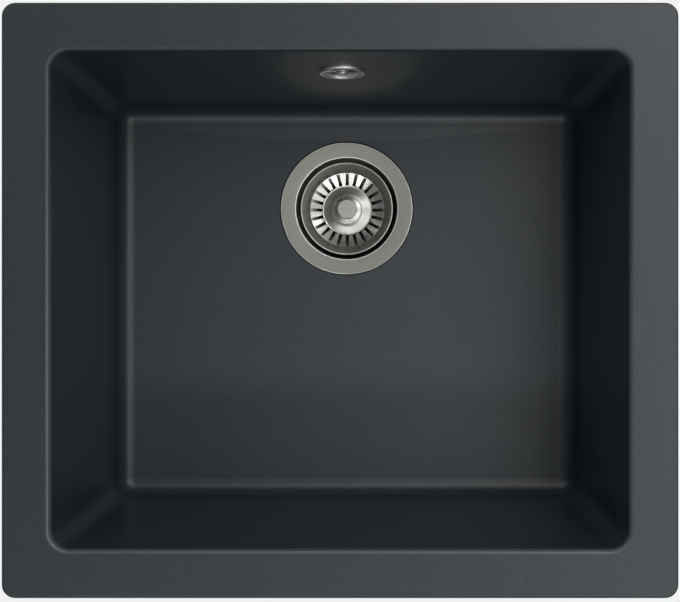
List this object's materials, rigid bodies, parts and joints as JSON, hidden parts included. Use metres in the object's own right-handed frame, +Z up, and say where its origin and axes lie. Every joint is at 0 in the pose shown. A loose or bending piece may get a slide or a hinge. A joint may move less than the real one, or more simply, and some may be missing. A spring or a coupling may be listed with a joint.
{
  "type": "inset kitchen sink",
  "caption": "Dark stone-composite inset sink with one deep rectangular bowl, flat rim, basket strainer waste with a liftable valve basket, round overflow and swinging worktop clips.",
  "frame": {"origin": "middle of the rim, in the plane of the rim's underside that rests on the worktop", "axes": "+X to the right along the long side, +Y to the back where the overflow is, +Z up"},
  "size_m": [0.5, 0.44, 0.301],
  "materials": {
    "composite": "matte",
    "brushed_steel": "satin",
    "polished_steel": "polished",
    "brass": "satin",
    "black_rubber": "matte",
    "seal_rubber": "matte",
    "white_plastic": "satin",
    "nut_plastic": "satin",
    "nylon": "satin",
    "zinc_steel": "satin"
  },
  "bodies": {
    "root": {"sink_bowl": "composite", "strainer_well": "brushed_steel", "clamp_screw": "polished_steel", "overflow_rosette": "polished_steel", "overflow_screw": "polished_steel", "waste_body_insert": "brass", "overflow_head_insert": "brass", "clip_inserts": "brass", "flange_gasket": "black_rubber", "floor_gasket": "black_rubber", "overflow_seal": "black_rubber", "upper_compression_seal": "seal_rubber", "lower_compression_seal": "seal_rubber", "waste_body": "white_plastic", "overflow_head": "white_plastic", "overflow_tube": "white_plastic", "upper_compression_nut": "nut_plastic", "lower_compression_nut": "nut_plastic", "clip_retainers": "nylon", "clip_screws": "zinc_steel"},
    "basket_spindle": {"basket_knob": "polished_steel", "basket_stem": "polished_steel", "stem_spacer": "nylon", "stopper_washer": "brushed_steel", "stopper_seal": "black_rubber", "stem_clip": "nylon"},
    "strainer_basket": {"basket_cup": "brushed_steel", "cup_bush": "nylon"},
    "clip_claw_1": {"clip_claw_1": "zinc_steel"},
    "clip_claw_2": {"clip_claw_2": "zinc_steel"},
    "clip_claw_3": {"clip_claw_3": "zinc_steel"},
    "clip_claw_4": {"clip_claw_4": "zinc_steel"},
    "clip_claw_5": {"clip_claw_5": "zinc_steel"},
    "clip_claw_6": {"clip_claw_6": "zinc_steel"}
  },
  "joints": [
    {"name": "basket_lift", "type": "slide", "parent": "root", "child": "basket_spindle", "axis": [0, 0, 1], "range_m": [0, 0.009]},
    {"name": "basket_turn", "type": "hinge", "parent": "basket_spindle", "child": "strainer_basket", "pos_m": [0, 0.08, -0.2148], "axis": [0, 0, 1], "continuous": true},
    {"name": "clip_1_swing", "type": "hinge", "parent": "root", "child": "clip_claw_1", "pos_m": [-0.12, 0.19709, -0.045], "axis": [0, 0, 1], "range_deg": [0, 90]},
    {"name": "clip_2_swing", "type": "hinge", "parent": "root", "child": "clip_claw_2", "pos_m": [0.12, 0.19709, -0.045], "axis": [0, 0, 1], "range_deg": [0, 90]},
    {"name": "clip_3_swing", "type": "hinge", "parent": "root", "child": "clip_claw_3", "pos_m": [0.22709, 0, -0.045], "axis": [0, 0, 1], "range_deg": [0, 90]},
    {"name": "clip_4_swing", "type": "hinge", "parent": "root", "child": "clip_claw_4", "pos_m": [0.12, -0.19709, -0.045], "axis": [0, 0, 1], "range_deg": [0, 90]},
    {"name": "clip_5_swing", "type": "hinge", "parent": "root", "child": "clip_claw_5", "pos_m": [-0.12, -0.19709, -0.045], "axis": [0, 0, 1], "range_deg": [0, 90]},
    {"name": "clip_6_swing", "type": "hinge", "parent": "root", "child": "clip_claw_6", "pos_m": [-0.22709, 0, -0.045], "axis": [0, 0, 1], "range_deg": [0, 90]}
  ]
}
